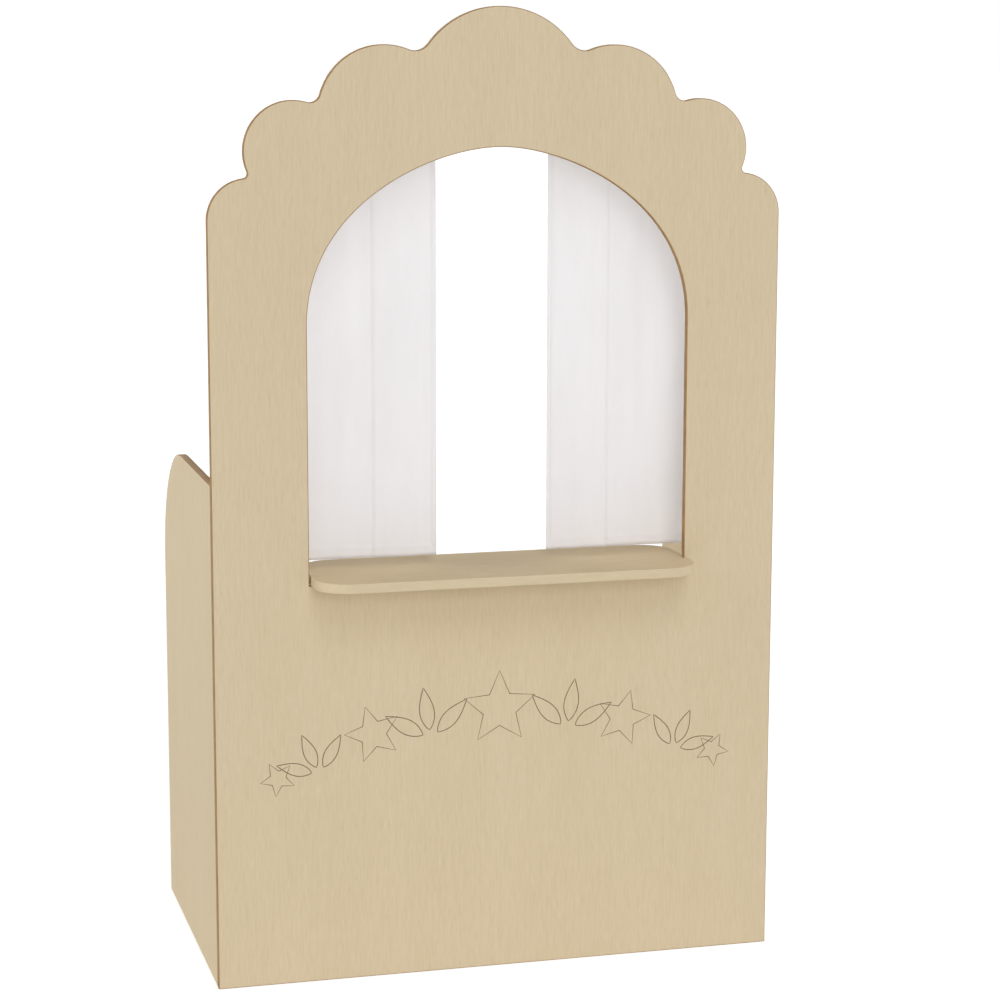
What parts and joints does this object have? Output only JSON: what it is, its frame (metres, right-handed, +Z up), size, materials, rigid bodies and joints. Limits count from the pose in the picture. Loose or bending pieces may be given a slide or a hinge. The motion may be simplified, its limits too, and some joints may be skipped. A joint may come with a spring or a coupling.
{
  "type": "puppet theater stand",
  "caption": "Free-standing wooden puppet theatre: scalloped front panel with an arched window, playing shelf, low side panels and sliding curtains on a rod.",
  "frame": {"origin": "on the floor, at the middle of the stand's width and of its depth from the shelf's front edge to the side panels' rear edges", "axes": "+X to the right as the audience sees it, +Y away from the audience, +Z up"},
  "size_m": [1.1, 0.728, 1.84],
  "materials": {
    "faced_board": "matt light maple facing, varnished brown edges",
    "edge_band": "matt veneer band",
    "curtain_cloth": "matt white woven cloth",
    "rod_steel": "satin white",
    "cap_plastic": "matt white",
    "zinc_steel": "bright zinc plated",
    "dowel_beech": "bare beech"
  },
  "bodies": {
    "stand": {"front_panel": "faced_board", "side_panel_left": "faced_board", "side_panel_right": "faced_board", "puppet_shelf": "faced_board", "shelf_edge_band": "edge_band", "curtain_rod": "rod_steel", "rod_bracket_left": "rod_steel", "rod_cap_left": "cap_plastic", "rod_bracket_screw_left_1": "zinc_steel", "rod_bracket_screw_left_2": "zinc_steel", "shelf_bracket_left": "zinc_steel", "shelf_bracket_wall_screw_left_1": "zinc_steel", "shelf_bracket_wall_screw_left_2": "zinc_steel", "shelf_bracket_shelf_screw_left_1": "zinc_steel", "shelf_bracket_shelf_screw_left_2": "zinc_steel", "cam_left_1": "zinc_steel", "cam_left_2": "zinc_steel", "cam_left_3": "zinc_steel", "cam_bolt_left_1": "zinc_steel", "cam_bolt_left_2": "zinc_steel", "cam_bolt_left_3": "zinc_steel", "dowel_left_1": "dowel_beech", "dowel_left_2": "dowel_beech", "curtain_ring_left_6": "rod_steel", "rod_bracket_right": "rod_steel", "rod_cap_right": "cap_plastic", "rod_bracket_screw_right_1": "zinc_steel", "rod_bracket_screw_right_2": "zinc_steel", "shelf_bracket_right": "zinc_steel", "shelf_bracket_wall_screw_right_1": "zinc_steel", "shelf_bracket_wall_screw_right_2": "zinc_steel", "shelf_bracket_shelf_screw_right_1": "zinc_steel", "shelf_bracket_shelf_screw_right_2": "zinc_steel", "cam_right_1": "zinc_steel", "cam_right_2": "zinc_steel", "cam_right_3": "zinc_steel", "cam_bolt_right_1": "zinc_steel", "cam_bolt_right_2": "zinc_steel", "cam_bolt_right_3": "zinc_steel", "dowel_right_1": "dowel_beech", "dowel_right_2": "dowel_beech", "curtain_ring_right_6": "rod_steel"},
    "curtain_body_left": {"curtain_left": "curtain_cloth", "curtain_ring_left_1": "rod_steel"},
    "ring_body_left_2": {"curtain_ring_left_2": "rod_steel"},
    "ring_body_left_3": {"curtain_ring_left_3": "rod_steel"},
    "ring_body_left_4": {"curtain_ring_left_4": "rod_steel"},
    "ring_body_left_5": {"curtain_ring_left_5": "rod_steel"},
    "curtain_body_right": {"curtain_right": "curtain_cloth", "curtain_ring_right_1": "rod_steel"},
    "ring_body_right_2": {"curtain_ring_right_2": "rod_steel"},
    "ring_body_right_3": {"curtain_ring_right_3": "rod_steel"},
    "ring_body_right_4": {"curtain_ring_right_4": "rod_steel"},
    "ring_body_right_5": {"curtain_ring_right_5": "rod_steel"}
  },
  "joints": [
    {"name": "left_curtain_slide", "type": "slide", "parent": "stand", "child": "curtain_body_left", "axis": [1, 0, 0], "range_m": [-0.18, 0.107], "deforming": ["curtain_left"]},
    {"name": "left_ring_2_slide", "type": "slide", "parent": "stand", "child": "ring_body_left_2", "axis": [1, 0, 0], "range_m": [-0.16128, 0.09587]},
    {"name": "left_ring_3_slide", "type": "slide", "parent": "stand", "child": "ring_body_left_3", "axis": [1, 0, 0], "range_m": [-0.11664, 0.06934]},
    {"name": "left_ring_4_slide", "type": "slide", "parent": "stand", "child": "ring_body_left_4", "axis": [1, 0, 0], "range_m": [-0.06336, 0.03766]},
    {"name": "left_ring_5_slide", "type": "slide", "parent": "stand", "child": "ring_body_left_5", "axis": [1, 0, 0], "range_m": [-0.01872, 0.01113]},
    {"name": "right_curtain_slide", "type": "slide", "parent": "stand", "child": "curtain_body_right", "axis": [-1, 0, 0], "range_m": [-0.18, 0.107], "deforming": ["curtain_right"]},
    {"name": "right_ring_2_slide", "type": "slide", "parent": "stand", "child": "ring_body_right_2", "axis": [-1, 0, 0], "range_m": [-0.16128, 0.09587]},
    {"name": "right_ring_3_slide", "type": "slide", "parent": "stand", "child": "ring_body_right_3", "axis": [-1, 0, 0], "range_m": [-0.11664, 0.06934]},
    {"name": "right_ring_4_slide", "type": "slide", "parent": "stand", "child": "ring_body_right_4", "axis": [-1, 0, 0], "range_m": [-0.06336, 0.03766]},
    {"name": "right_ring_5_slide", "type": "slide", "parent": "stand", "child": "ring_body_right_5", "axis": [-1, 0, 0], "range_m": [-0.01872, 0.01113]}
  ],
  "couplings": [
    {"joint": "left_ring_2_slide", "follows": "left_curtain_slide", "ratio": 0.896},
    {"joint": "left_ring_3_slide", "follows": "left_curtain_slide", "ratio": 0.648},
    {"joint": "left_ring_4_slide", "follows": "left_curtain_slide", "ratio": 0.352},
    {"joint": "left_ring_5_slide", "follows": "left_curtain_slide", "ratio": 0.104},
    {"joint": "right_ring_2_slide", "follows": "right_curtain_slide", "ratio": 0.896},
    {"joint": "right_ring_3_slide", "follows": "right_curtain_slide", "ratio": 0.648},
    {"joint": "right_ring_4_slide", "follows": "right_curtain_slide", "ratio": 0.352},
    {"joint": "right_ring_5_slide", "follows": "right_curtain_slide", "ratio": 0.104}
  ]
}
